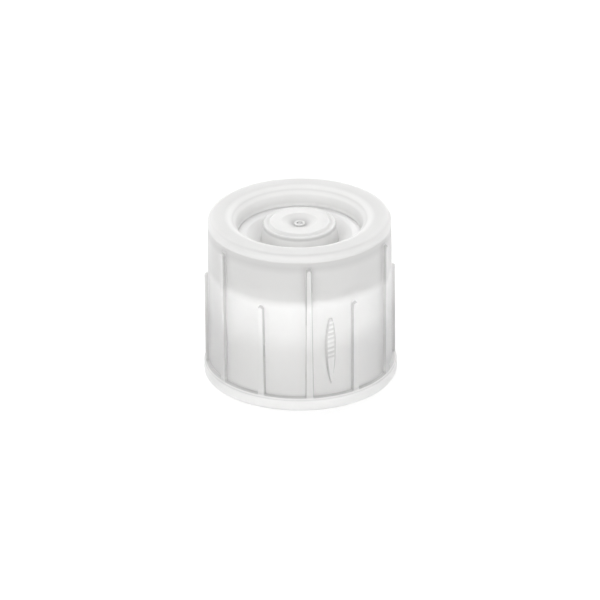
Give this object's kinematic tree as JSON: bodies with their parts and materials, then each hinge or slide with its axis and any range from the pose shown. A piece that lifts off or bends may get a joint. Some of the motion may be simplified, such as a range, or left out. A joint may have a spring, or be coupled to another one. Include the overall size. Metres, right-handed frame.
{
  "type": "ribbed tube closure",
  "caption": "Translucent push-on closure: ribbed skirt with a foot flange and a ring top, closed by a dished insert with a centre boss.",
  "frame": {"origin": "centre of the foot flange's underside, on the closure's axis, where it stands on a surface", "axes": "+Z along the closure's axis, from the open foot to the closed top; -Y through the long grip rib that is nearest the index mark"},
  "size_m": [0.02, 0.02, 0.0174],
  "materials": {
    "shell_plastic": "natural uncoloured polypropylene, translucent, satin as moulded",
    "insert_plastic": "natural uncoloured polyolefin, translucent, slightly softer and milkier than the shell"
  },
  "bodies": {
    "shell": {"ribbed_shell": "shell_plastic"},
    "insert": {"seal_insert": "insert_plastic"}
  },
  "joints": [
    {"name": "insert_slide", "type": "slide", "parent": "shell", "child": "insert", "axis": [0, 0, -1], "range_m": [0, 0.0115]}
  ]
}
